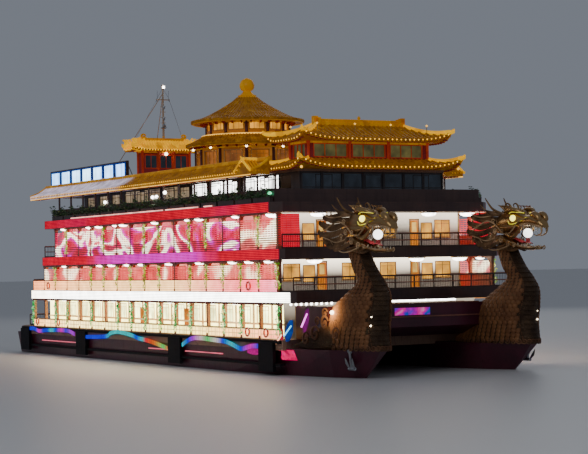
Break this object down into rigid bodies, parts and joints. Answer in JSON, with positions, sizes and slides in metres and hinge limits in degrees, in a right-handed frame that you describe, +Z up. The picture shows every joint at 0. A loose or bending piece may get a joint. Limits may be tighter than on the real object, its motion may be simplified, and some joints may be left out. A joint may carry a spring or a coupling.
{
  "type": "twin-hulled dragon boat, 1:2 scale model",
  "caption": "Catamaran river cruise boat, half size, with dragon figureheads on its bows, galleries behind posts, swept tile roofs and a round pagoda.",
  "frame": {"origin": "amidships on the centre line, at the waterline, at the mount called waterline", "axes": "+X forward to the bows, +Y to port, +Z up out of the water"},
  "size_m": [33.375, 10.48, 14.475],
  "materials": {
    "hull_paint": "glossy maroon paint",
    "deck_paint": "worn brown deck paint",
    "white_paint": "satin white paint",
    "rose_paint": "satin rose red paint",
    "cream_paint": "satin cream paint",
    "dark_paint": "satin dark paint",
    "timber": "varnished reddish timber",
    "crimson_lacquer": "crimson lacquer on timber",
    "roof_tile": "amber glazed tile",
    "dragon_bronze": "aged bronze colour",
    "pearl": "glowing white lamp globe",
    "rubber": "black fender rubber",
    "steel": "galvanised steel",
    "propeller_bronze": "machined bronze"
  },
  "bodies": {
    "boat": {"main_deck": "deck_paint", "hull_stbd": "hull_paint", "hull_port": "hull_paint", "fender_rail_stbd": "rubber", "fender_rail_port": "rubber", "shaft_stbd": "steel", "shaft_port": "steel", "fore_deck": "hull_paint", "dragon_body_stbd": "dragon_bronze", "dragon_body_port": "dragon_bronze", "dragon_head_stbd": "dragon_bronze", "dragon_head_port": "dragon_bronze", "pearl_stbd": "pearl", "pearl_port": "pearl", "deck_1": "white_paint", "deck_2": "rose_paint", "deck_3": "rose_paint", "roof_deck": "deck_paint", "house_main": "cream_paint", "house_1": "cream_paint", "house_2": "cream_paint", "house_3": "dark_paint", "bollard_stbd": "dark_paint", "bollard_port": "dark_paint", "colonnade_main_stbd": "timber", "colonnade_main_port": "timber", "colonnade_1_stbd": "timber", "colonnade_1_port": "timber", "colonnade_2_stbd": "timber", "colonnade_2_port": "timber", "rail_1": "dark_paint", "rail_2": "dark_paint", "stern_rail_main": "dark_paint", "stern_rail_1": "dark_paint", "stern_rail_2": "dark_paint", "gallery_3_stbd": "dark_paint", "gallery_3_port": "dark_paint", "rail_3": "dark_paint", "stern_rail_3": "dark_paint", "side_roof_stbd": "roof_tile", "side_roof_port": "roof_tile", "signboard": "dark_paint", "pavilion_walls": "crimson_lacquer", "pavilion_lower_roof": "roof_tile", "pavilion_upper_roof": "roof_tile", "pagoda_lower": "timber", "pagoda_skirt_roof": "roof_tile", "pagoda_upper": "crimson_lacquer", "pagoda_cone": "roof_tile", "aft_pavilion_walls": "crimson_lacquer", "aft_pavilion_roof": "roof_tile", "mast": "steel"},
    "propeller_stbd": {"propeller_stbd": "propeller_bronze"},
    "propeller_port": {"propeller_port": "propeller_bronze"},
    "rudder_stbd": {"rudder_stbd": "steel"},
    "rudder_port": {"rudder_port": "steel"},
    "door_1_stbd": {"door_1_stbd": "timber"},
    "door_1_port": {"door_1_port": "timber"},
    "door_2_stbd": {"door_2_stbd": "timber"},
    "door_2_port": {"door_2_port": "timber"}
  },
  "joints": [
    {"name": "propeller_stbd_spin", "type": "hinge", "parent": "boat", "child": "propeller_stbd", "pos_m": [-15.45, -3.4, -0.75], "axis": [1, 0, 0], "continuous": true},
    {"name": "propeller_port_spin", "type": "hinge", "parent": "boat", "child": "propeller_port", "pos_m": [-15.45, 3.4, -0.75], "axis": [1, 0, 0], "continuous": true},
    {"name": "rudder_stbd_turn", "type": "hinge", "parent": "boat", "child": "rudder_stbd", "pos_m": [-16.1, -3.4, -0.75], "axis": [0, 0, 1], "range_deg": [-35, 35]},
    {"name": "rudder_port_turn", "type": "hinge", "parent": "boat", "child": "rudder_port", "pos_m": [-16.1, 3.4, -0.75], "axis": [0, 0, 1], "range_deg": [-35, 35]},
    {"name": "door_1_stbd_swing", "type": "hinge", "parent": "boat", "child": "door_1_stbd", "pos_m": [9.6, -2.4, 3.7], "axis": [0, 0, -1], "range_deg": [0, 95]},
    {"name": "door_1_port_swing", "type": "hinge", "parent": "boat", "child": "door_1_port", "pos_m": [9.6, 2.4, 3.7], "axis": [0, 0, 1], "range_deg": [0, 95]},
    {"name": "door_2_stbd_swing", "type": "hinge", "parent": "boat", "child": "door_2_stbd", "pos_m": [9.6, -2.4, 5.4], "axis": [0, 0, -1], "range_deg": [0, 95]},
    {"name": "door_2_port_swing", "type": "hinge", "parent": "boat", "child": "door_2_port", "pos_m": [9.6, 2.4, 5.4], "axis": [0, 0, 1], "range_deg": [0, 95]}
  ]
}
